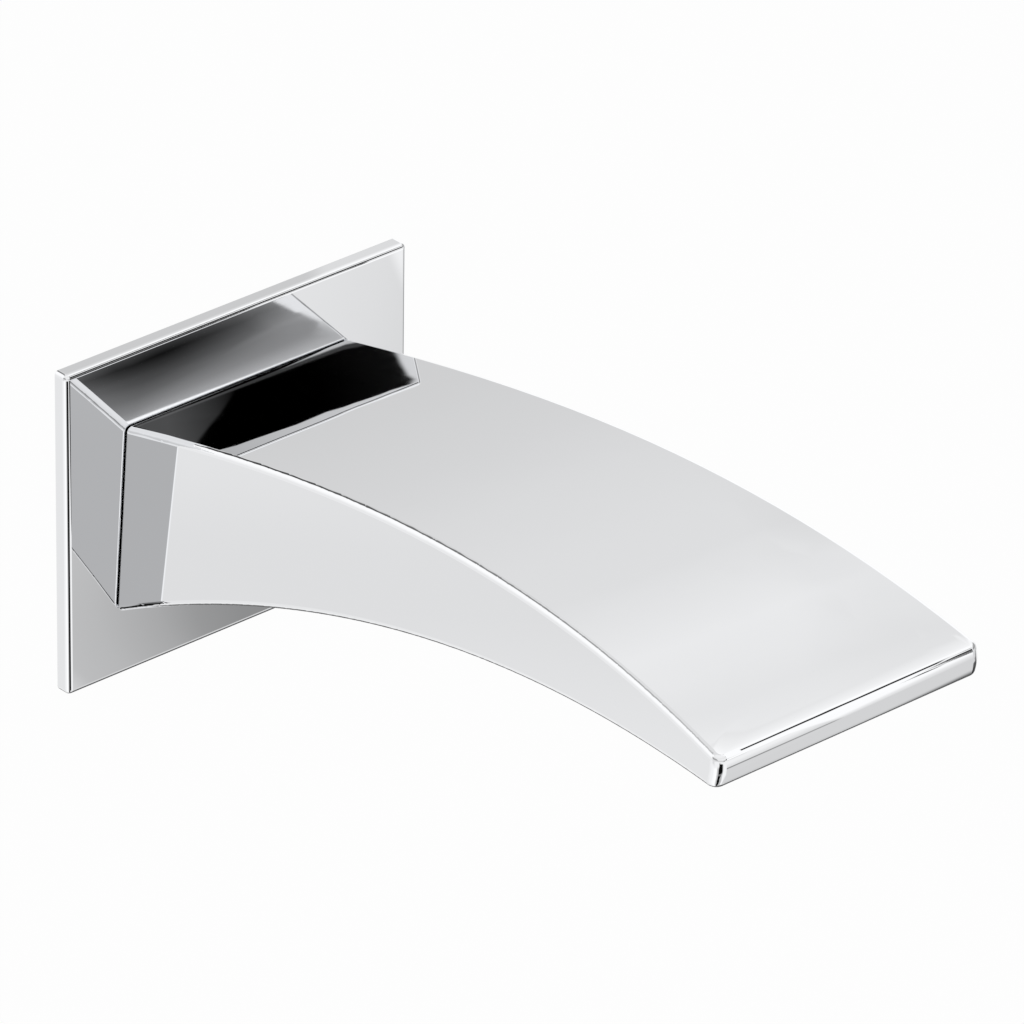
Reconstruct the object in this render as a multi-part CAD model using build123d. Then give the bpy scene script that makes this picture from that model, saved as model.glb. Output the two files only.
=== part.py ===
"""Wall mounted bath spout: a cast arching spout with a rectangular cover plate.

Millimetres. The origin is on the inlet axis at the wall face. +Y runs into the wall,
the spout reaches out along -Y, +X is to the right seen from the front, +Z is up.
"""
import os
from math import cos, radians, sin, tan

from build123d import *

# Cover plate
plate_width = 80.0
plate_height = 64.9
plate_depth = 3.25
plate_corner_radius = 1.0
plate_front_round = 1.05
plate_back_round = 0.3
plate_rim = 2.2
plate_recess = 1.5
recess_corner_radius = 2.0

# Spout body, lengths measured from the front of the cover plate
reach = 160.0
root_top_height = 17.7
root_bottom_height = -19.3
tip_top_height = 21.7
tip_thickness = 6.2
top_rise_angle = 12.7
top_drop_angle = 15.9
under_rise_angle = 27.5
under_drop_angle = 3.8
top_pull = 0.344
under_pull = 0.354
side_draft_angle = 3.7
face_lean = 0.6
face_bow = 0.5

# Half widths on the level of the inlet axis: the sides flare in a gentle curve
root_half_width = 27.5
middle_half_width = 28.8
tip_half_width = 32.0

# Edges and walls of the body
edge_round = 1.2
tip_corner_round = 2.0
rear_round = 0.3
shadow_gap = 0.3
shadow_gap_depth = 1.2
wall = 2.5
core_round = 1.5
block_span = 120.0

# Socket at the back of the body, which slips over the inlet nipple
socket_radius = 9.05
socket_wall = 1.95
socket_end = 16.0
spigot_stand_back = 0.6
pocket_depth = 13.0
pocket_overrun = 6.0
waterway_start = 18.0
waterway_inlet_radius = 7.0

# Inlet nipple with a half inch pipe thread
thread_radius = 10.48
thread_end = 14.0
thread_start = -0.4
nipple_radius = 9.0
nipple_front = 15.2
nipple_bore_radius = 5.8
hex_across_flats = 10.0
hex_depth = 10.0
lock_groove_radius = 8.2
lock_groove_width = 5.6
thread_chamfer = 0.8
nipple_chamfer = 0.7

# Rubber rings
ring_thickness = 2.4
ring_groove_radius = 6.65
ring_groove_width = 2.9
ring_places = (8.7, 12.6)
plate_ring_thickness = 1.4
plate_ring_groove_radius = 10.3
plate_ring_groove_width = 1.6

# Grub screw that locks the body to the nipple from below
grub_place = 4.2
grub_radius = 2.5
grub_length = 6.0
grub_hex = 2.5
grub_hex_depth = 3.0
grub_tip_chamfer = 0.6
grub_end_chamfer = 0.4
grub_tip_gap = 0.05
grub_boss_radius = 5.0
thread_play = 0.04

# Outlet in the underside near the tip
outlet_place = 141.0
outlet_length = 41.0
outlet_width = 13.0
outlet_corner_radius = 1.5
outlet_floor = 15.7
flange_length = 53.0
flange_width = 16.6
flange_thickness = 1.3
flange_corner_radius = 2.0
gasket_thickness = 0.5
gasket_gap = 0.4
ledge_thickness = 1.9
cell_size = 2.4
cell_pitch = 3.0
cell_columns = 13
cell_rows = 4
outlet_screw_place = 23.5
outlet_screw_radius = 1.25
outlet_screw_head_radius = 2.3
outlet_screw_length = 5.0
outlet_screw_hex = 1.5
outlet_screw_hex_depth = 0.9
outlet_screw_bottom_gap = 0.5
seat_width = 21.6
seat_end_length = 12.0
seat_end_height = 20.0
seat_rim = 2.0
seat_corner_radius = 3.0
seat_skirt = 5.0
fit_gap = 0.1

# Worked out from the sizes above
side_draft = tan(radians(side_draft_angle))
socket_outer_radius = socket_radius + socket_wall
ledge_height = outlet_floor + flange_thickness + gasket_thickness
pad_height = ledge_height + ledge_thickness
plate_floor = plate_depth - plate_recess
plate_ring_y = -plate_recess - plate_floor / 2
plate_hole_radius = plate_ring_groove_radius + plate_ring_thickness
side_view = Plane(origin=(0, 0, 0), x_dir=(0, -1, 0), z_dir=(-1, 0, 0))


def out(distance):
    """Y of a place given as its distance out from the front of the cover plate."""
    return -plate_depth - distance


def rod(radius, near, far):
    """Cylinder along the inlet axis between two places on Y."""
    middle = (near + far) / 2
    return Pos(0, middle, 0) * Rot(90, 0, 0) * Cylinder(radius, abs(far - near))


def post(radius, x, y, low, high):
    """Upright cylinder between two heights."""
    return Pos(x, y, (low + high) / 2) * Cylinder(radius, high - low)


def slab(length, width, low, high, corner):
    """Upright rounded block, centred on the outlet."""
    outline = Pos(0, out(outlet_place), low) * RectangleRounded(length, width, corner)
    return extrude(outline, amount=high - low)


def ring(axis_radius, thickness, y):
    """Rubber ring round the inlet axis."""
    return Pos(0, y, 0) * Rot(90, 0, 0) * Torus(axis_radius, thickness / 2)


def arch(start, start_angle, end, end_angle, pull, inset):
    """Smooth side-view curve that leaves and arrives at set angles, moved by an inset."""
    pull = pull * (end[0] - start[0])
    lean_out, lean_in = radians(start_angle), radians(end_angle)
    start = Vector(start[0] + inset * sin(lean_out), start[1] - inset * cos(lean_out))
    end = Vector(end[0] + inset * sin(lean_in), end[1] - inset * cos(lean_in))
    start_pull = Vector(cos(lean_out), sin(lean_out)) * pull
    end_pull = Vector(cos(lean_in), sin(lean_in)) * pull
    return Bezier(start, start + start_pull, end - end_pull, end)


def side_profile(inset, tail):
    """Closed side view of the spout; the tail carries it back past the cover plate."""
    front = plate_depth + reach
    under_front = front - face_lean
    top = arch((plate_depth, root_top_height), top_rise_angle,
               (front - inset, tip_top_height), -top_drop_angle, top_pull, inset)
    tip_bottom_height = tip_top_height - tip_thickness
    under = arch((plate_depth, root_bottom_height), under_rise_angle,
                 (under_front - inset, tip_bottom_height), -under_drop_angle, under_pull, -inset)
    face_middle = (top @ 1 + under @ 1) / 2 + Vector(face_bow, 0)
    face = ThreePointArc(top @ 1, face_middle, under @ 1)
    rear = Line(top @ 0, under @ 0)
    if tail:
        back = plate_depth - tail
        rear = Polyline(top @ 0, (back, (top @ 0).Y), (back, (under @ 0).Y), under @ 0)
    return side_view * make_face(Curve() + [top, face, under, rear])


def half_width(distance):
    """Half width on the inlet axis's level at a distance from the cover plate."""
    place = 2 * distance / reach - 1
    bow = (root_half_width + tip_half_width) / 2 - middle_half_width
    return middle_half_width + place * (tip_half_width - root_half_width) / 2 + bow * place ** 2


def flared_prism(inset):
    """Block whose sides flare towards the tip and lean in towards the top."""
    foot, height, overrun = -30.0, 75.0, 20.0
    spread = side_draft * -foot - inset / cos(radians(side_draft_angle))
    stations = (-overrun, reach / 2, reach + overrun)
    left = ThreePointArc([(-half_width(place) - spread, out(place)) for place in stations])
    right = ThreePointArc([(half_width(place) + spread, out(place)) for place in stations])
    ends = [Line(left @ 0, right @ 0), Line(left @ 1, right @ 1)]
    outline = Plane.XY.offset(foot) * make_face(Curve() + [left, right] + ends)
    return extrude(outline, amount=height, dir=(0, 0, 1), taper=side_draft_angle)


def spout_shape(inset=0.0, tail=0.0):
    """Arching form of the spout, whole or moved in by an inset for the hollow inside."""
    block = extrude(Pos(block_span / 2, 0, 0) * side_profile(inset, tail), amount=block_span)
    return block & flared_prism(inset)


def is_upright(edge):
    """True for an edge that runs mostly up and down."""
    return abs((edge % 0.5).Z) > 0.8


def outer_form():
    """Outside of the casting with its softened edges."""
    form = spout_shape() - between(-1, shadow_gap)
    tip_face = form.faces().sort_by(Axis.Y)[0]
    form = fillet(tip_face.edges().filter_by(is_upright), tip_corner_round)
    rear = form.faces().sort_by(Axis.Y)[-1]
    form = fillet(form.edges() - form.edges().filter_by(is_upright) - rear.edges(), edge_round)
    rear = form.faces().sort_by(Axis.Y)[-1]
    return fillet(rear.edges(), rear_round)


def between(near, far):
    """Block that spans the whole spout between two distances from the cover plate."""
    return Pos(0, (out(near) + out(far)) / 2, 0) * Box(block_span, far - near, block_span)


def casting_form():
    """Softened outside and, behind it, the inner rim that leaves a fine dark gap at the plate."""
    inner_rim = spout_shape(shadow_gap_depth, tail=2.0) & between(0, shadow_gap + rear_round)
    return outer_form() + inner_rim


def waterway():
    """Hollow that follows the outside at an even wall, from the socket to the outlet."""
    hollow = spout_shape(wall, tail=pocket_overrun) & between(waterway_start, outlet_place + outlet_width / 2)
    return fillet(hollow.edges().filter_by(lambda edge: edge.length > reach / 2), core_round)


def rear_pocket():
    """Open casting pocket round the socket."""
    return spout_shape(wall, tail=pocket_overrun) & between(-1 - shadow_gap_depth, pocket_depth)


def grub_screw_boss():
    """Boss under the socket for the grub screw, with a keel that joins it to the floor."""
    boss = post(grub_boss_radius, 0, out(grub_place), root_bottom_height, -socket_radius)
    top_of_keel = Pos(0, out(grub_place), -socket_radius)
    sides = (Align.CENTER, Align.MAX, Align.MAX)
    keel = Box(2 * grub_boss_radius, pocket_depth, -root_bottom_height, align=sides)
    return boss + top_of_keel * keel


def outlet_seat():
    """Thickened floor round the outlet, solid up to the roof at both ends for the screws."""
    seat = slab(flange_length + 2 * seat_rim, seat_width, outlet_floor - seat_skirt,
                pad_height, seat_corner_radius)
    upright = (Align.CENTER, Align.CENTER, Align.MIN)
    for side in (-1, 1):
        end = Box(seat_end_length, seat_width, seat_end_height, align=upright)
        seat += Pos(side * (outlet_length + seat_end_length) / 2, out(outlet_place), outlet_floor) * end
    return seat


def spout_body():
    """Casting with a rear pocket, a socket for the nipple and a waterway to the outlet."""
    form = casting_form()
    body = form - waterway() - rear_pocket()
    socket_tube = rod(socket_outer_radius, out(pocket_depth + 1), out(0))
    body += (socket_tube & form) + (grub_screw_boss() & form) + (outlet_seat() & form)
    body += rod(socket_outer_radius, out(0.5), -spigot_stand_back)

    body -= rod(socket_radius, 1, out(socket_end))
    body -= rod(waterway_inlet_radius, 0, out(waterway_start + 1))
    body -= ring_groove(plate_ring_groove_radius, socket_outer_radius + 1,
                        plate_ring_groove_width, plate_ring_y)
    body -= post(grub_radius, 0, out(grub_place), root_bottom_height - 1, 0)
    below = outlet_floor - 2 * seat_skirt
    body -= slab(flange_length, flange_width, below, ledge_height, flange_corner_radius)
    body -= slab(outlet_length, outlet_width, below, pad_height + 1, outlet_corner_radius)
    hole_top = outlet_floor + outlet_screw_length + outlet_screw_bottom_gap
    for side in (-1, 1):
        body -= post(outlet_screw_radius, side * outlet_screw_place, out(outlet_place), below, hole_top)
    return body


def ring_groove(inner_radius, outer_radius, width, y):
    """Washer shape that cuts a groove round the inlet axis."""
    near, far = y - width / 2, y + width / 2
    return rod(outer_radius, near, far) - rod(inner_radius, near, far)


def wall_plate():
    """Cover plate with rounded edges, dished at the back for its gasket."""
    outline = Plane.XZ * RectangleRounded(plate_width, plate_height, plate_corner_radius)
    plate = extrude(outline, amount=plate_depth)
    front = plate.faces().sort_by(Axis.Y)[0]
    plate = fillet(front.edges(), plate_front_round)
    back = plate.faces().sort_by(Axis.Y)[-1]
    plate = fillet(back.edges(), plate_back_round)
    plate -= extrude(recess_outline(0), amount=plate_recess)
    return plate - rod(plate_hole_radius, 1, out(1))


def recess_outline(gap):
    """Outline of the dish in the back of the plate, moved in by a gap."""
    width, height = plate_width - 2 * plate_rim, plate_height - 2 * plate_rim
    return Plane.XZ * RectangleRounded(width - 2 * gap, height - 2 * gap, recess_corner_radius - gap)


def wall_gasket():
    """Foam sheet that fills the back of the cover plate and seals it to the tiles."""
    sheet = extrude(recess_outline(fit_gap), amount=plate_recess)
    return sheet - rod(socket_outer_radius + seat_rim, 1, out(1))


def inlet_nipple():
    """Turned brass nipple: pipe thread, locking groove, two ring grooves, hexagon drive."""
    front = out(nipple_front)
    nipple = rod(nipple_radius, thread_end - 1, front)
    thread = rod(thread_radius, thread_start, thread_end)
    nipple += chamfer(thread.edges().group_by(Axis.Y)[-1], thread_chamfer)
    nipple = chamfer(nipple.faces().sort_by(Axis.Y)[0].edges(), nipple_chamfer)
    nipple -= ring_groove(lock_groove_radius, nipple_radius + 1, lock_groove_width, out(grub_place))
    for place in ring_places:
        nipple -= ring_groove(ring_groove_radius, nipple_radius + 1, ring_groove_width, out(place))
    nipple -= rod(nipple_bore_radius, thread_end + 1, front + hex_depth)
    hexagon = RegularPolygon(hex_across_flats / 2, 6, major_radius=False)
    drive = Plane(origin=(0, front, 0), z_dir=(0, 1, 0)) * hexagon
    return nipple - extrude(drive, amount=hex_depth)


def nipple_rings():
    """Two equal rubber rings that seal the nipple in the socket."""
    middle_radius = ring_groove_radius + ring_thickness / 2
    return [ring(middle_radius, ring_thickness, out(place)) for place in ring_places]


def plate_ring():
    """Thin rubber ring that holds the cover plate on the body's spigot."""
    return ring(plate_ring_groove_radius + plate_ring_thickness / 2, plate_ring_thickness, plate_ring_y)


def grub_screw():
    """Headless screw with a hexagon socket, turned from below."""
    tip = -lock_groove_radius - grub_tip_gap
    foot = tip - grub_length
    screw = post(grub_radius - thread_play, 0, out(grub_place), foot, tip)
    screw = chamfer(screw.edges().group_by(Axis.Z)[-1], grub_tip_chamfer)
    screw = chamfer(screw.edges().group_by(Axis.Z)[0], grub_end_chamfer)
    socket = Pos(0, out(grub_place), foot) * RegularPolygon(grub_hex / 2, 6, major_radius=False)
    return screw - extrude(socket, amount=grub_hex_depth)


def flow_straightener():
    """Moulded insert: a flange and a grid of square cells that calms the water."""
    top = ledge_height + ledge_thickness
    insert = slab(flange_length - 2 * fit_gap, flange_width - 2 * fit_gap,
                  outlet_floor, outlet_floor + flange_thickness,
                  flange_corner_radius - fit_gap)
    insert += slab(outlet_length - 2 * fit_gap, outlet_width - 2 * fit_gap,
                   outlet_floor, top, outlet_corner_radius - fit_gap)
    cells = GridLocations(cell_pitch, cell_pitch, cell_columns, cell_rows)
    squares = Sketch([place * Rectangle(cell_size, cell_size) for place in cells])
    holes = Pos(0, out(outlet_place), outlet_floor - 1) * squares
    insert -= extrude(holes, amount=top - outlet_floor + 2)
    for side in (-1, 1):
        insert -= outlet_screw_form(side, thread_play)
    return insert


def outlet_screw_form(side, play):
    """Countersunk screw shape, also used with some play to cut its hole in the insert."""
    x, y = side * outlet_screw_place, out(outlet_place)
    head_height = outlet_screw_head_radius - outlet_screw_radius
    shank = post(outlet_screw_radius + play, x, y, outlet_floor, outlet_floor + outlet_screw_length)
    head = Pos(x, y, outlet_floor + head_height / 2) * Cone(outlet_screw_head_radius + play,
                                                         outlet_screw_radius + play, head_height)
    return shank + head


def straightener_gasket():
    """Flat rubber gasket between the insert's flange and the casting."""
    low = outlet_floor + flange_thickness
    gasket = slab(flange_length - 2 * gasket_gap, flange_width - 2 * gasket_gap,
                  low, ledge_height, flange_corner_radius - gasket_gap)
    gasket -= slab(outlet_length + gasket_gap, outlet_width + gasket_gap,
                   low - 1, ledge_height + 1, outlet_corner_radius + gasket_gap / 2)
    for side in (-1, 1):
        x, hole_radius = side * outlet_screw_place, outlet_screw_radius + gasket_gap / 2
        gasket -= post(hole_radius, x, out(outlet_place), low - 1, ledge_height + 1)
    return gasket


def straightener_screws():
    """Two equal countersunk screws with hexagon sockets."""
    screws = []
    for side in (-1, 1):
        head_face = Pos(side * outlet_screw_place, out(outlet_place), outlet_floor)
        socket = head_face * RegularPolygon(outlet_screw_hex / 2, 6, major_radius=False)
        form = outlet_screw_form(side, -thread_play)
        screws.append(form - extrude(socket, amount=outlet_screw_hex_depth))
    return screws


pieces = {
    "spout_body": spout_body(),
    "wall_plate": wall_plate(),
    "wall_gasket": wall_gasket(),
    "plate_ring": plate_ring(),
    "inlet_nipple": inlet_nipple(),
    "nipple_rings": Compound(children=nipple_rings()),
    "grub_screw": grub_screw(),
    "flow_straightener": flow_straightener(),
    "straightener_gasket": straightener_gasket(),
    "straightener_screws": Compound(children=straightener_screws()),
}

os.makedirs("parts", exist_ok=True)
for name, piece in pieces.items():
    export_step(piece, f"parts/{name}.step")
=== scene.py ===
"""Wall mounted bath spout in polished chrome, lit as in a bright studio.

Metres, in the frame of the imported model: the origin is on the inlet axis at the wall
face, +Y runs into the wall, the spout reaches out along -Y, +Z is up.
"""
from math import cos, pi, radians, sin

import bpy
from mathutils import Matrix, Vector


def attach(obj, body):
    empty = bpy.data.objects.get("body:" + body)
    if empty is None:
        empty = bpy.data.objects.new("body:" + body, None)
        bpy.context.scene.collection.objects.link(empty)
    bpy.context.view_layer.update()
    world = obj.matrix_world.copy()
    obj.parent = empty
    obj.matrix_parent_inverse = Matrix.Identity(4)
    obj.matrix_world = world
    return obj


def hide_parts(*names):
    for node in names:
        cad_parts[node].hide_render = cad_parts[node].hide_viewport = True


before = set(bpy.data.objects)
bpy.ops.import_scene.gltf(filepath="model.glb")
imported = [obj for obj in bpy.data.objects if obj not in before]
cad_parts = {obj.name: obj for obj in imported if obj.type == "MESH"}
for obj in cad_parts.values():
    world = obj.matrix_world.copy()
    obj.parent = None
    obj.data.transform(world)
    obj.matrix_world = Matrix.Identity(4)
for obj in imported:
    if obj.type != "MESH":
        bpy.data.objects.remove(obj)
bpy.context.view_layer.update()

# Camera, fitted to the outlines in the photograph
camera_azimuth = -42.0
camera_elevation = 28.83
camera_roll = 0.82
camera_distance = 1.8
camera_reach = 60.0
camera_target = Vector((0.0, -0.0770, 0.0221))
image_size = 1024
pixels_per_metre = 5732.0
sensor_width = 36.0

# Studio floor
floor_depth = 2.4
floor_size = 60.0
floor_colour = (0.9, 0.9, 0.9, 1.0)
floor_shading = 0.05

# Tones of the studio: as the camera sees it, as matt pieces are lit by it, and as metal mirrors it
white = 1.0
matt_light = 0.75
bright = 1.12
black_board = 0.005

# Finish of the plated pieces
chrome_colour = (0.874, 0.880, 0.893, 1.0)

# Inlet nipple: half inch pipe thread, locking groove, two ring grooves, hexagon drive
turned_sides = 96
thread_pitch = 0.001814
thread_radius = 0.01048
thread_root_radius = 0.009316
thread_flank = 0.43 * thread_pitch
thread_start = -0.0004
thread_end = 0.0140
thread_chamfer = 0.0008
spare_turns = 2
nipple_radius = 0.0090
nipple_front = -0.01845
nipple_chamfer = 0.0007
bore_radius = 0.0058
hex_across_flats = 0.0100
hex_floor = -0.00845
lock_groove = (-0.00745, 0.0056, 0.0082)
ring_grooves = ((-0.01195, 0.0029, 0.00665), (-0.01585, 0.0029, 0.00665))

# Mesh work: how far a cutting tool reaches past a face, and what counts as one point
overcut = 0.001
merge_distance = 0.000001
cut_tolerance = 0.0000001
smooth_angle = radians(30)


def new_material(name):
    """Empty node material with a Principled surface: the material, its tree and the surface."""
    material = bpy.data.materials.new(name)
    material.use_nodes = True
    tree = material.node_tree
    return material, tree, tree.nodes["Principled BSDF"]


def add_node(tree, kind, **settings):
    """Adds a node and sets its named properties."""
    node = tree.nodes.new(kind)
    for key, value in settings.items():
        setattr(node, key, value)
    return node


def feed(tree, sockets, values):
    """Sets numbers on sockets and links everything else to them."""
    for socket, value in zip(sockets, values):
        if isinstance(value, (int, float, tuple)):
            socket.default_value = value
        else:
            tree.links.new(value, socket)


def ramp(tree, source, stops):
    """Grey ramp through the given (place, value) stops."""
    node = add_node(tree, "ShaderNodeValToRGB")
    elements = node.color_ramp.elements
    while len(elements) < len(stops):
        elements.new(0.5)
    for element, (place, value) in zip(elements, stops):
        element.position = place
        element.color = (value, value, value, 1.0)
    tree.links.new(source, node.inputs["Fac"])
    return node.outputs["Color"]


def fade(tree, source, low, high, to_low=0.0, to_high=1.0):
    """Soft step from one value to another as the source goes from low to high."""
    node = add_node(tree, "ShaderNodeMapRange", interpolation_type="SMOOTHSTEP")
    feed(tree, node.inputs, (source, low, high, to_low, to_high))
    return node.outputs["Result"]


def calc(tree, operation, *values):
    """Math node on numbers or sockets."""
    node = add_node(tree, "ShaderNodeMath", operation=operation)
    feed(tree, node.inputs, values)
    return node.outputs[0]


def plus(tree, first, second):
    """Sum of two values."""
    return calc(tree, "ADD", first, second)


def minus(tree, first, second):
    """Difference of two values."""
    return calc(tree, "SUBTRACT", first, second)


def product(tree, *values):
    """Product of several values or masks."""
    result = values[0]
    for value in values[1:]:
        result = calc(tree, "MULTIPLY", result, value)
    return result


def slope(tree, source, start, rate, value=0.0):
    """Value that changes evenly with the source, and is the given one at the start place."""
    return plus(tree, product(tree, minus(tree, source, start), rate), value)


def band(tree, source, rise_start, rise_end, fall_start, fall_end):
    """Mask that fades in between the first two places and out between the last two."""
    return product(tree, fade(tree, source, rise_start, rise_end), fade(tree, source, fall_end, fall_start))


def blend(tree, factor, first, second):
    """Blend of two grey values by a factor."""
    node = add_node(tree, "ShaderNodeMix", data_type="FLOAT")
    feed(tree, (node.inputs[0], node.inputs[2], node.inputs[3]), (factor, first, second))
    return node.outputs[0]


def layers(tree, factor, first, second):
    """Mix of two shaders by a factor."""
    node = add_node(tree, "ShaderNodeMixShader")
    feed(tree, node.inputs, (factor, first.outputs[0], second.outputs[0]))
    return node


def split(tree, vector):
    """The three parts of a vector."""
    node = add_node(tree, "ShaderNodeSeparateXYZ")
    tree.links.new(vector, node.inputs[0])
    return node.outputs


def noise(tree, place, scale, detail, stretch=None):
    """Noise on the given coordinates, stretched along the axes if asked."""
    if stretch:
        mapping = add_node(tree, "ShaderNodeMapping")
        feed(tree, (mapping.inputs["Vector"], mapping.inputs["Scale"]), (place, stretch))
        place = mapping.outputs[0]
    node = add_node(tree, "ShaderNodeTexNoise")
    feed(tree, (node.inputs["Vector"], node.inputs["Scale"], node.inputs["Detail"]), (place, scale, detail))
    return node.outputs["Fac"]


def relief(tree, surface, height, depth, strength):
    """Bump of a given depth in metres."""
    bump = add_node(tree, "ShaderNodeBump")
    bump.inputs["Strength"].default_value = strength
    bump.inputs["Distance"].default_value = depth
    tree.links.new(height, bump.inputs["Height"])
    tree.links.new(bump.outputs["Normal"], surface.inputs["Normal"])


def tone(tree, surface, factor, dark, light):
    """Base colour between a dark and a light tone."""
    mix = add_node(tree, "ShaderNodeMix", data_type="RGBA")
    feed(tree, (mix.inputs[0], mix.inputs[6], mix.inputs[7]), (factor, (*dark, 1.0), (*light, 1.0)))
    tree.links.new(mix.outputs[2], surface.inputs["Base Color"])


def roughen(tree, surface, pattern, span, roughness):
    """Roughness between two values, as a pattern goes over its span."""
    tree.links.new(fade(tree, pattern, *span, *roughness), surface.inputs["Roughness"])


def object_place(tree):
    """Object coordinates, in metres."""
    return add_node(tree, "ShaderNodeTexCoord").outputs["Object"]


def chrome(name, polish_stretch):
    """Polished chrome over brass: a clear mirror with faint polishing lines in its gloss."""
    material, tree, surface = new_material(name)
    surface.inputs["Metallic"].default_value = 1.0
    surface.inputs["Base Color"].default_value = chrome_colour
    place = object_place(tree)
    haze = noise(tree, place, scale=30.0, detail=2.0)
    lines = noise(tree, place, scale=900.0, detail=3.0, stretch=polish_stretch)
    roughen(tree, surface, blend(tree, 0.35, haze, lines), span=(0.35, 0.65), roughness=(0.004, 0.012))
    relief(tree, surface, haze, depth=0.00004, strength=0.012)
    return material


def foam(name):
    """Closed cell sealing foam: dull, dark, with fine open pores, and painted shade darkening the pores."""
    material, tree, surface = new_material(name)
    place = object_place(tree)
    pores = add_node(tree, "ShaderNodeTexVoronoi")
    tree.links.new(place, pores.inputs["Vector"])
    pores.inputs["Scale"].default_value = 1600.0
    pore = fade(tree, pores.outputs["Distance"], 0.10, 0.55)
    cloud = noise(tree, place, scale=120.0, detail=4.0)
    # Colour: painted shade darkens the pore hollows, mixed with a random mottle of the foam's own tone from
    # the cloud
    pore_shade_and_mottle = blend(tree, 0.6, pore, cloud)
    tone(tree, surface, pore_shade_and_mottle, dark=(0.030, 0.030, 0.033), light=(0.115, 0.116, 0.122))
    roughen(tree, surface, cloud, span=(0.3, 0.7), roughness=(0.86, 0.96))
    surface.inputs["Specular IOR Level"].default_value = 0.25
    relief(tree, surface, pore, depth=0.0003, strength=0.6)
    return material


def rubber(name, dark, light, roughness):
    """Black moulded rubber with a faint bloom and a fine skin."""
    material, tree, surface = new_material(name)
    place = object_place(tree)
    bloom = noise(tree, place, scale=240.0, detail=5.0)
    skin = noise(tree, place, scale=6000.0, detail=2.0)
    tone(tree, surface, fade(tree, bloom, 0.35, 0.7), dark, light)
    roughen(tree, surface, bloom, span=(0.3, 0.7), roughness=roughness)
    relief(tree, surface, skin, depth=0.00003, strength=0.4)
    return material


def turned_brass(name):
    """Raw turned brass: fine tool lines round the axis, slightly tarnished in patches."""
    material, tree, surface = new_material(name)
    surface.inputs["Metallic"].default_value = 1.0
    place = object_place(tree)
    x, y, z = split(tree, place)
    radius = calc(tree, "SQRT", plus(tree, product(tree, x, x), product(tree, z, z)))
    line_spacing = 0.00016
    line_wobble = 0.0004
    wobble = product(tree, noise(tree, place, scale=60.0, detail=2.0), line_wobble)
    along = plus(tree, plus(tree, radius, y), wobble)
    tool_lines = calc(tree, "SINE", product(tree, along, 2 * pi / line_spacing))
    tarnish = noise(tree, place, scale=180.0, detail=5.0)
    tone(tree, surface, fade(tree, tarnish, 0.35, 0.65), dark=(0.54, 0.37, 0.15), light=(0.80, 0.61, 0.31))
    roughen(tree, surface, tarnish, span=(0.3, 0.7), roughness=(0.32, 0.18))
    relief(tree, surface, tool_lines, depth=0.000012, strength=0.35)
    return material


def screw_steel(name):
    """Stainless steel of the small screws, tumbled to a soft satin."""
    material, tree, surface = new_material(name)
    surface.inputs["Metallic"].default_value = 1.0
    place = object_place(tree)
    tumbled = noise(tree, place, scale=2200.0, detail=4.0)
    stain = noise(tree, place, scale=500.0, detail=2.0)
    tone(tree, surface, stain, dark=(0.42, 0.42, 0.43), light=(0.62, 0.62, 0.63))
    roughen(tree, surface, tumbled, span=(0.3, 0.7), roughness=(0.20, 0.36))
    relief(tree, surface, tumbled, depth=0.00001, strength=0.3)
    return material


def moulded_plastic(name):
    """Pale grey moulded plastic of the outlet insert, with a fine spark-eroded grain."""
    material, tree, surface = new_material(name)
    place = object_place(tree)
    grain = noise(tree, place, scale=4200.0, detail=3.0)
    flow = noise(tree, place, scale=90.0, detail=3.0, stretch=(1.0, 3.0, 1.0))
    tone(tree, surface, fade(tree, flow, 0.3, 0.7), dark=(0.56, 0.57, 0.58), light=(0.66, 0.67, 0.68))
    roughen(tree, surface, grain, span=(0.3, 0.7), roughness=(0.34, 0.48))
    relief(tree, surface, grain, depth=0.00003, strength=0.35)
    return material


def dress_nodes():
    """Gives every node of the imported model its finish."""
    ring_rubber = rubber("ring_rubber", dark=(0.018, 0.018, 0.019), light=(0.045, 0.045, 0.047),
                         roughness=(0.33, 0.48))
    gasket_rubber = rubber("gasket_rubber", dark=(0.026, 0.026, 0.027), light=(0.06, 0.06, 0.061),
                           roughness=(0.51, 0.66))
    steel = screw_steel("screw_steel")
    finishes = {
        "spout_body": chrome("body_chrome", polish_stretch=(1.0, 0.15, 1.0)),
        "wall_plate": chrome("plate_chrome", polish_stretch=(0.15, 1.0, 1.0)),
        "wall_gasket": foam("sealing_foam"),
        "plate_ring": ring_rubber,
        "nipple_rings": ring_rubber,
        "grub_screw": steel,
        "flow_straightener": moulded_plastic("insert_plastic"),
        "straightener_gasket": gasket_rubber,
        "straightener_screws": steel,
    }
    for node, material in finishes.items():
        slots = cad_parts[node].data.materials
        slots.clear()
        slots.append(material)


def deselect():
    """Leaves edit mode with nothing selected."""
    if bpy.context.object and bpy.context.object.mode != "OBJECT":
        bpy.ops.object.mode_set(mode="OBJECT")
    bpy.ops.object.select_all(action="DESELECT")


def take(piece):
    """Makes one piece the only selected and active one."""
    deselect()
    piece.select_set(True)
    bpy.context.view_layer.objects.active = piece


def close_up():
    """Merges doubles, turns the faces outwards and leaves edit mode."""
    bpy.ops.mesh.select_all(action="SELECT")
    bpy.ops.mesh.remove_doubles(threshold=merge_distance)
    bpy.ops.mesh.normals_make_consistent(inside=False)
    bpy.ops.object.mode_set(mode="OBJECT")


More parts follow.
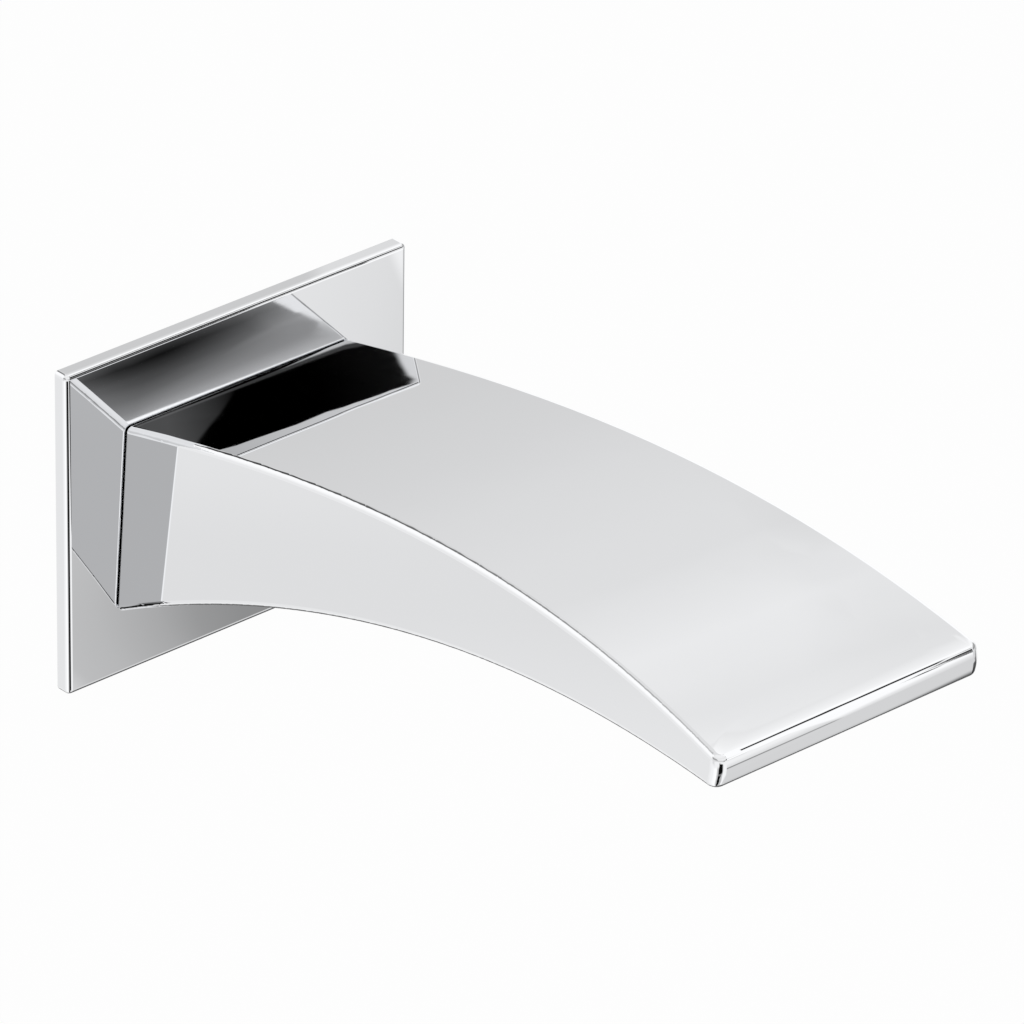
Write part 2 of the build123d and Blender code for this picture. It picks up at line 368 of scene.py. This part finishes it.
def turned(name, stations, sides=turned_sides):
    """Solid round the inlet axis: a disc extruded from one (radius, y) to the next."""
    radius, y = stations[0]
    deselect()
    bpy.ops.mesh.primitive_circle_add(vertices=sides, radius=radius, fill_type="NGON",
                                      location=(0, y, 0), rotation=(radians(90), 0, 0))
    piece = bpy.context.active_object
    piece.name = name
    bpy.ops.object.transform_apply(location=True, rotation=True, scale=True)
    bpy.ops.object.mode_set(mode="EDIT")
    bpy.ops.mesh.select_all(action="SELECT")
    for next_radius, next_y in stations[1:]:
        bpy.ops.mesh.extrude_region_move(TRANSFORM_OT_translate={"value": (0, next_y - y, 0)})
        change = next_radius / radius
        bpy.ops.transform.resize(value=(change, 1, change), center_override=(0, next_y, 0))
        radius, y = next_radius, next_y
    close_up()
    return piece


def combine(piece, tool, operation):
    """Cuts, joins or trims a piece with a second one, which is used up."""
    take(piece)
    modifier = piece.modifiers.new("combine", "BOOLEAN")
    modifier.operation = operation
    modifier.solver = "EXACT"
    modifier.object = tool
    bpy.ops.object.modifier_apply(modifier=modifier.name)
    bpy.data.objects.remove(tool)


def thread_outline():
    """One pitch of the thread's outline, drawn from a single point below the thread's start."""
    flat = thread_pitch / 2 - thread_flank
    height = thread_radius - thread_root_radius
    first_y = thread_start - spare_turns * thread_pitch
    seed_size = 0.001
    deselect()
    bpy.ops.mesh.primitive_plane_add(size=seed_size, location=(thread_root_radius, first_y, 0))
    thread = bpy.context.active_object
    thread.name = "thread"
    bpy.ops.object.transform_apply(location=True, rotation=True, scale=True)
    bpy.ops.object.mode_set(mode="EDIT")
    bpy.ops.mesh.select_all(action="SELECT")
    bpy.ops.mesh.merge(type="CENTER")
    for outward, along in ((0, flat), (height, thread_flank), (0, flat), (-height, thread_flank)):
        bpy.ops.mesh.extrude_region_move(TRANSFORM_OT_translate={"value": (outward, along, 0)})
    bpy.ops.object.mode_set(mode="OBJECT")
    return thread


def pipe_thread():
    """Thread outline screwed round the axis and cut to length, half a pitch over at each end."""
    thread = thread_outline()
    screw = thread.modifiers.new("screw", "SCREW")
    screw.axis = "Y"
    screw.angle = radians(360)
    screw.screw_offset = thread_pitch
    screw.iterations = int((thread_end - thread_start) / thread_pitch) + 2 * spare_turns
    screw.steps = turned_sides
    screw.render_steps = turned_sides
    bpy.ops.object.modifier_apply(modifier=screw.name)
    bpy.ops.object.mode_set(mode="EDIT")
    bpy.ops.mesh.select_all(action="SELECT")
    bpy.ops.mesh.remove_doubles(threshold=merge_distance)
    for place, outward in ((thread_start - thread_pitch / 2, -1), (thread_end + thread_pitch / 2, 1)):
        bpy.ops.mesh.select_all(action="SELECT")
        bpy.ops.mesh.bisect(plane_co=(0, place, 0), plane_no=(0, outward, 0), use_fill=True,
                            clear_outer=True, threshold=cut_tolerance)
    close_up()
    return thread


def grooved_stations():
    """Outline of the plain part of the nipple, from inside the thread to its front."""
    stations = [(nipple_radius, thread_start + thread_pitch)]
    for place, width, radius in (lock_groove, *ring_grooves):
        near, far = place + width / 2, place - width / 2
        stations += [(nipple_radius, near), (radius, near), (radius, far), (nipple_radius, far)]
    stations.append((nipple_radius, nipple_front + nipple_chamfer))
    stations.append((nipple_radius - nipple_chamfer, nipple_front))
    return stations


def threaded_nipple():
    """Turned nipple with its real pipe thread, in place of the plain one."""
    nipple = pipe_thread()
    clear = thread_radius + overcut
    trim = [(thread_radius - thread_chamfer, thread_end),
            (clear, thread_end - thread_chamfer - overcut),
            (clear, thread_start)]
    bore = [(bore_radius, thread_end + overcut), (bore_radius, hex_floor)]
    hex_radius = hex_across_flats / 2 / cos(radians(30))
    drive = [(hex_radius, hex_floor), (hex_radius, nipple_front - overcut)]
    combine(nipple, turned("trim", trim), "INTERSECT")
    combine(nipple, turned("core", grooved_stations()), "UNION")
    combine(nipple, turned("bore", bore), "DIFFERENCE")
    combine(nipple, turned("drive", drive, sides=6), "DIFFERENCE")
    take(nipple)
    bpy.ops.object.mode_set(mode="EDIT")
    close_up()
    bpy.ops.object.shade_smooth_by_angle(angle=smooth_angle)
    nipple.name = "threaded_nipple"
    nipple.data.materials.append(turned_brass("turned_brass"))
    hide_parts("inlet_nipple")
    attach(nipple, "root")


def seen_in_metal(tree):
    """Mask of the rays that come by way of a mirroring or a clear piece."""
    path = add_node(tree, "ShaderNodeLightPath")
    return calc(tree, "MAXIMUM", path.outputs["Is Glossy Ray"], path.outputs["Is Transmission Ray"])


def front_rise(tree, y, z):
    """Angle in degrees by which a direction rises from the level line to the front."""
    return product(tree, calc(tree, "ARCTAN2", z, product(tree, y, -1.0)), 180 / pi)


# Tent: greys by the direction of the mirrored ray, whose parts x, y and z go from -1 to 1
def back_tones(tree, x, y, z):
    """Back of the tent: grey low down, lighter higher up, white at the left past a dark strip."""
    heights = [(0.0, 0.67), (0.22, 0.70), (0.34, 0.745), (0.42, 0.79), (0.52, 0.822), (0.575, 0.83),
               (0.625, 0.885), (0.665, 0.935), (0.70, 0.915), (0.725, 0.885), (0.74, 0.91), (0.76, 1.0)]
    back = product(tree, ramp(tree, z, heights), fade(tree, x, 0.601, 0.610, 1.0, 0.955))

    # Darker patch, mirrored by the top thickness of the cover plate
    patch = product(tree, fade(tree, x, 0.5800, 0.5780), fade(tree, z, 0.450, 0.456))
    back = product(tree, back, blend(tree, patch, 1.0, 0.83))

    # Glow overhead, mirrored by the last bit of the spout's top, next to the tip
    along = plus(tree, y, slope(tree, x, start=0.604, rate=0.55))
    glow = ramp(tree, along, [(0.279, bright), (0.281, 1.05), (0.283, 1.0), (0.2865, 0.965), (0.289, 0.94),
                              (0.2905, 0.91), (0.294, 0.89)])
    overhead = product(tree, fade(tree, x, 0.584, 0.590), fade(tree, along, 0.296, 0.292))
    back = blend(tree, overhead, back, glow)

    # White at the left, and at the far right
    left = ramp(tree, z, [(0.0, 0.92), (0.17, 1.0), (0.35, 1.08), (0.45, bright)])
    across = plus(tree, minus(tree, x, y), 0.62)
    back = blend(tree, fade(tree, across, 0.05, -0.05), back, left)
    back = blend(tree, fade(tree, x, 0.62, 0.68), back, bright)

    # Dark strip between the left and the middle, darker straight behind
    darkest = 0.05
    strip = fade(tree, calc(tree, "ABSOLUTE", across), 0.22, 0.13)
    strip = product(tree, strip, fade(tree, y, 0.18, 0.30), fade(tree, z, -0.02, 0.05))
    strip_tone = calc(tree, "MAXIMUM", minus(tree, 0.90, y), darkest)
    return blend(tree, strip, back, strip_tone)


def front_boards(tree, x, rise):
    """Front of the tent by angle: a black board low down and a soft strip higher up."""
    boards = [(0.0, 0.0), (35.0, 0.0), (41.0, bright), (48.0, bright), (52.5, 0.14), (57.0, 0.13),
              (58.0, 0.006), (58.6, 0.06), (58.95, 0.13), (59.2, 0.19), (59.5, 0.33), (59.7, 0.46),
              (59.85, 0.56), (60.3, 0.62), (61.3, bright)]
    front = ramp(tree, calc(tree, "DIVIDE", rise, 90.0), [(angle / 90, value) for angle, value in boards])

    # The strip is paler towards its ends
    strip_centre = 0.565
    paleness = 1900.0
    palest = 0.28
    off_centre = minus(tree, x, strip_centre)
    paler = product(tree, off_centre, off_centre, paleness, band(tree, rise, 56.5, 57.5, 58.8, 59.6))
    front = plus(tree, front, calc(tree, "MINIMUM", paler, palest))

    # It ends in a slanting edge with light past it, and the edge leans more in its upper part
    lower_lean = 0.0016
    upper_lean = 0.0035
    lower = calc(tree, "MINIMUM", minus(tree, rise, 58.2), 0.4)
    upper = calc(tree, "MAXIMUM", minus(tree, rise, 59.5), 0.0)
    shift = plus(tree, product(tree, lower, lower_lean), product(tree, upper, upper_lean))
    end = minus(tree, x, shift)
    past_end = product(tree, fade(tree, end, 0.57625, 0.5765), fade(tree, rise, 57.0, 57.6))
    front = blend(tree, past_end, front, white)

    # White line above the strip, mirrored along the joint of body and plate
    line_slant = 18.0
    line_tone = 1.25
    line = minus(tree, rise, product(tree, x, line_slant))
    line = product(tree, fade(tree, line, 49.50, 49.54), fade(tree, rise, 61.0, 60.5))
    return blend(tree, line, front, line_tone)


def board_ends(tree, x, z, rise, front):
    """Ends of the black board: dark grey at the left, a trace of grey at the right, light edges."""
    low = fade(tree, rise, 18.0, 17.0)
    palest_grey = 0.09
    trace = 0.004
    grey = slope(tree, x, start=0.5662, rate=-15.0, value=0.05)
    grey_edge = plus(tree, x, product(tree, z, 0.135))
    grey_end = product(tree, low, fade(tree, grey_edge, 0.5899, 0.5893), fade(tree, z, 0.188, 0.184))
    front = blend(tree, grey_end, front, calc(tree, "MINIMUM", grey, palest_grey))
    front = plus(tree, front, product(tree, low, fade(tree, x, 0.575, 0.582), trace))

    # Foot, near the level line: a little lighter, and light grey over part of its width
    faint_tone = 0.05
    light_tone = 0.62
    faint_foot = product(tree, fade(tree, rise, 10.52, 10.46), fade(tree, x, 0.584, 0.580))
    front = plus(tree, front, product(tree, faint_foot, faint_tone))
    light_foot = product(tree, fade(tree, rise, 10.36, 10.28), band(tree, x, 0.5725, 0.574, 0.580, 0.584))
    front = blend(tree, light_foot, front, light_tone)

    # Border along the upper edge and the right end
    upper_edge = fade(tree, minus(tree, z, product(tree, x, 0.54)), -0.1076, -0.1067)
    border = calc(tree, "MAXIMUM", upper_edge, fade(tree, x, 0.5827, 0.5833))
    border_tone = slope(tree, x, start=0.568, rate=15.6, value=0.57)
    return blend(tree, product(tree, border, low), front, calc(tree, "MINIMUM", border_tone, bright))


def front_tones(tree, x, y, z):
    """Front of the tent: dark boards in the middle, open at the left, white at the far right."""
    rise = front_rise(tree, y, z)
    front = board_ends(tree, x, z, rise, front_boards(tree, x, rise))

    # Open at the left: a soft grey horizon below a light wall, and paler at the far left
    far_left_tone = 0.75
    wall = ramp(tree, z, [(0.0, 0.46), (0.08, 0.52), (0.18, 0.84), (0.35, 1.0), (0.60, 0.90), (1.0, 1.0)])
    front = blend(tree, fade(tree, x, 0.50, 0.40), front, wall)
    front = blend(tree, fade(tree, x, -0.05, -0.25), front, calc(tree, "MAXIMUM", wall, far_left_tone))
    return blend(tree, fade(tree, x, 0.584, 0.594), front, bright)


def studio_world():
    """White to the camera; metal sees a light tent with dark boards in front and dark sides."""
    world = bpy.data.worlds.new("studio")
    bpy.context.scene.world = world
    world.use_nodes = True
    tree = world.node_tree
    tree.nodes.clear()
    x, y, z = split(tree, add_node(tree, "ShaderNodeTexCoord").outputs["Generated"])
    sky = blend(tree, fade(tree, y, 0.12, -0.05), back_tones(tree, x, y, z), front_tones(tree, x, y, z))

    # Narrow black strip at the front right, which draws the line along the edge of the tip
    strip_rise = 53.0
    beside = calc(tree, "ABSOLUTE", minus(tree, front_rise(tree, y, z), strip_rise))
    narrow = product(tree, band(tree, x, 0.591, 0.5945, 0.6101, 0.6108), fade(tree, beside, 15.0, 7.0))
    sky = blend(tree, narrow, sky, 0.0)

    # Soft dark band along both side walls
    walls = ramp(tree, z, [(0.0, 0.80), (0.10, 0.62), (0.25, 0.32), (0.36, 0.32), (0.50, 0.50), (0.70, 1.0)])
    outward = product(tree, fade(tree, calc(tree, "ABSOLUTE", x), 0.70, 0.79), fade(tree, y, 0.30, 0.15))
    sky = blend(tree, outward, sky, walls)

    level = blend(tree, seen_in_metal(tree), matt_light, sky)
    path = add_node(tree, "ShaderNodeLightPath")
    level = blend(tree, path.outputs["Is Camera Ray"], level, white)
    background = add_node(tree, "ShaderNodeBackground")
    tree.links.new(level, background.inputs["Color"])
    output = add_node(tree, "ShaderNodeOutputWorld")
    tree.links.new(background.outputs[0], output.inputs["Surface"])


# Floor: greys by the place on it, counted in floor depths, and by the turn round its middle from 0 to 1
def open_ground(tree, turn, distance):
    """Floor by direction and distance: pale, with a grey card and black boards at the left front."""
    around = [(-180, 1.04), (-165, 1.08), (-150, 1.14), (-142, 0.72), (-137, 0.565), (-133.1, 0.55),
              (-131.9, 0.522), (-131, 0.515), (-129.6, 0.50), (-91, 0.55), (-85, 1.0), (100, 1.0),
              (125, 0.86), (135, 0.85), (160, 0.98)]
    ground = ramp(tree, turn, [((angle + 180) / 360, value) for angle, value in around])

    # Uneven at the left back, mirrored by the side of the spout
    farthest = 4.0
    uneven = ramp(tree, calc(tree, "DIVIDE", distance, farthest),
                  [(0.5225, 0.0), (0.5375, 0.5), (0.5475, 0.82), (0.5575, 0.78), (0.575, 0.3)])
    left_back = product(tree, uneven, band(tree, turn, 0.80, 0.84, 0.88, 0.91))
    ground = product(tree, ground, fade(tree, left_back, 0.0, 1.0, 1.04, 0.965))

    # Far out it is greyer to both sides
    far = ramp(tree, turn, [(0.0, 0.78), (0.05, 1.0), (0.40, 1.0), (0.46, 0.74), (0.54, 0.74), (0.60, 1.0),
                            (0.72, 1.0), (0.80, 0.93), (0.93, 0.93), (1.0, 0.78)])
    ground = blend(tree, fade(tree, distance, 2.3, 2.9), ground, far)

    # Black board at the left front, and a second one nearer in
    near_board = product(tree, band(tree, turn, 0.1330, 0.1400, 0.192, 0.203),
                         fade(tree, distance, 1.6, 1.4))
    board = product(tree, band(tree, turn, 0.1400, 0.1445, 0.2305, 0.247),
                    band(tree, distance, 1.4, 1.6, 3.1, 3.4))
    return blend(tree, calc(tree, "MAXIMUM", board, near_board), ground, black_board)


def right_ground(tree, place, right, back):
    """Floor at the right front: a greyer stretch with a dark soft spot in it, darker again close in."""
    sideways = minus(tree, product(tree, back, -1.0), product(tree, right, 0.9))
    stretch = ramp(tree, sideways, [(0.20, 0.745), (0.258, 0.75), (0.286, 0.79), (0.30, 0.825),
                                    (0.316, 0.85), (0.343, 0.885), (0.375, 0.94), (0.42, 1.0)])

    # Dark soft spot
    spot_centre = (1.155, -1.325, 0.0)
    spot_span = 0.25
    spot = add_node(tree, "ShaderNodeVectorMath", operation="DISTANCE")
    feed(tree, spot.inputs[:2], (place, spot_centre))
    hollow = ramp(tree, product(tree, spot.outputs["Value"], 1 / spot_span),
                  [(0.0, 0.34), (0.10, 0.36), (0.15, 0.41), (0.19, 0.50), (0.22, 0.54), (0.26, 0.59),
                   (0.31, 0.62), (0.35, 0.85), (0.38, 1.0)])
    stretch = product(tree, stretch, hollow)

    # Past a slanting line it has tones of its own, mirrored by the face of the tip
    outer = minus(tree, minus(tree, 0.5, back), product(tree, right, 1.15))
    outer_tone = ramp(tree, outer, [(0.39, 0.735), (0.405, 0.765), (0.4245, 0.83), (0.438, 0.865),
                                    (0.456, 0.92), (0.471, 1.0), (0.479, 1.05), (0.489, 1.09), (0.50, 1.11)])
    aslant = plus(tree, back, product(tree, right, 1.7))
    stretch = blend(tree, fade(tree, aslant, 0.740, 0.749), stretch, outer_tone)

    # Darker close in
    close_in = ramp(tree, aslant, [(0.915, 1.0), (0.93, 0.98), (0.936, 0.95), (0.9485, 0.81), (0.965, 0.55),
                                   (0.978, 0.32), (0.993, 0.22)])
    return product(tree, stretch, blend(tree, fade(tree, back, -0.80, -0.70), 1.0, close_in))


def floor_tones(tree):
    """Tones of the floor in metal, with places on it counted in floor depths."""
    scaled = add_node(tree, "ShaderNodeVectorMath", operation="SCALE")
    tree.links.new(object_place(tree), scaled.inputs[0])
    scaled.inputs["Scale"].default_value = 1 / floor_depth
    place = scaled.outputs[0]
    right, back, _ = split(tree, place)
    length = add_node(tree, "ShaderNodeVectorMath", operation="LENGTH")
    tree.links.new(place, length.inputs[0])
    distance = length.outputs["Value"]
    turn = plus(tree, calc(tree, "DIVIDE", calc(tree, "ARCTAN2", back, right), 2 * pi), 0.5)

    ground = open_ground(tree, turn, distance)
    right_front = band(tree, turn, 0.30, 0.335, 0.46, 0.52)
    ground = blend(tree, right_front, ground, right_ground(tree, place, right, back))

    # Behind and below the spout: dark, so that every outline has a fine dark edge
    darkness = 0.86
    behind = product(tree, fade(tree, right, -0.20, 0.15), fade(tree, back, -0.53, -0.28),
                     fade(tree, distance, 2.0, 1.5))
    return blend(tree, product(tree, behind, darkness), ground, 0.0)


def floor_material():
    """Pale floor: white to the camera, its own tones in metal, and clear from below."""
    material = bpy.data.materials.new("pale_floor")
    material.use_nodes = True
    tree = material.node_tree
    tree.nodes.clear()
    mirrored = add_node(tree, "ShaderNodeEmission")
    tree.links.new(floor_tones(tree), mirrored.inputs["Color"])
    lit = add_node(tree, "ShaderNodeEmission")
    matt = add_node(tree, "ShaderNodeBsdfDiffuse")
    matt.inputs["Color"].default_value = floor_colour
    clear = add_node(tree, "ShaderNodeBsdfTransparent")
    geometry = add_node(tree, "ShaderNodeNewGeometry")
    pale = layers(tree, floor_shading, lit, matt)
    top = layers(tree, seen_in_metal(tree), pale, mirrored)
    whole = layers(tree, geometry.outputs["Backfacing"], top, clear)
    output = add_node(tree, "ShaderNodeOutputMaterial")
    tree.links.new(whole.outputs[0], output.inputs["Surface"])
    return material


def studio_floor():
    """Large pale floor well below the spout, seen only from above."""
    deselect()
    bpy.ops.mesh.primitive_plane_add(size=floor_size, location=(0, 0, -floor_depth))
    floor = bpy.context.active_object
    floor.name = "studio_floor"
    floor.data.materials.append(floor_material())


def studio_lamps():
    """Broad soft lamp overhead and a weaker one from the left, hidden from mirrors."""
    for name, place, size, power in (
        ("overhead_lamp", (0.3, -0.5, 1.6), 1.6, 18.0),
        ("left_lamp", (-1.4, -0.6, 0.7), 1.0, 6.0),
    ):
        bpy.ops.object.light_add(type="AREA", location=place)
        lamp = bpy.context.active_object
        lamp.name = name
        lamp.data.size = size
        lamp.data.energy = power
        lamp.visible_glossy = False
        lamp.rotation_mode = "QUATERNION"
        lamp.rotation_quaternion = (Vector(place) - camera_target).to_track_quat("Z", "Y")


def photo_camera():
    """Long lens from the front left and above, at the photograph's angle."""
    azimuth, elevation, roll = radians(camera_azimuth), radians(camera_elevation), radians(camera_roll)
    back = Vector((sin(azimuth) * cos(elevation), -cos(azimuth) * cos(elevation), sin(elevation)))
    level_right = Vector((cos(azimuth), sin(azimuth), 0.0))
    level_up = back.cross(level_right)
    right = cos(roll) * level_right + sin(roll) * level_up
    up = cos(roll) * level_up - sin(roll) * level_right
    bpy.ops.object.camera_add()
    camera = bpy.context.active_object
    camera.name = "photo_camera"
    turn = Matrix((right, up, back)).transposed().to_4x4()
    camera.matrix_world = Matrix.Translation(camera_target + camera_distance * back) @ turn
    camera.data.sensor_width = sensor_width
    camera.data.lens = sensor_width * pixels_per_metre * camera_distance / image_size
    camera.data.clip_end = camera_reach
    bpy.context.scene.camera = camera


bpy.context.scene.view_settings.view_transform = "Standard"
dress_nodes()
threaded_nipple()
studio_world()
studio_floor()
studio_lamps()
photo_camera()
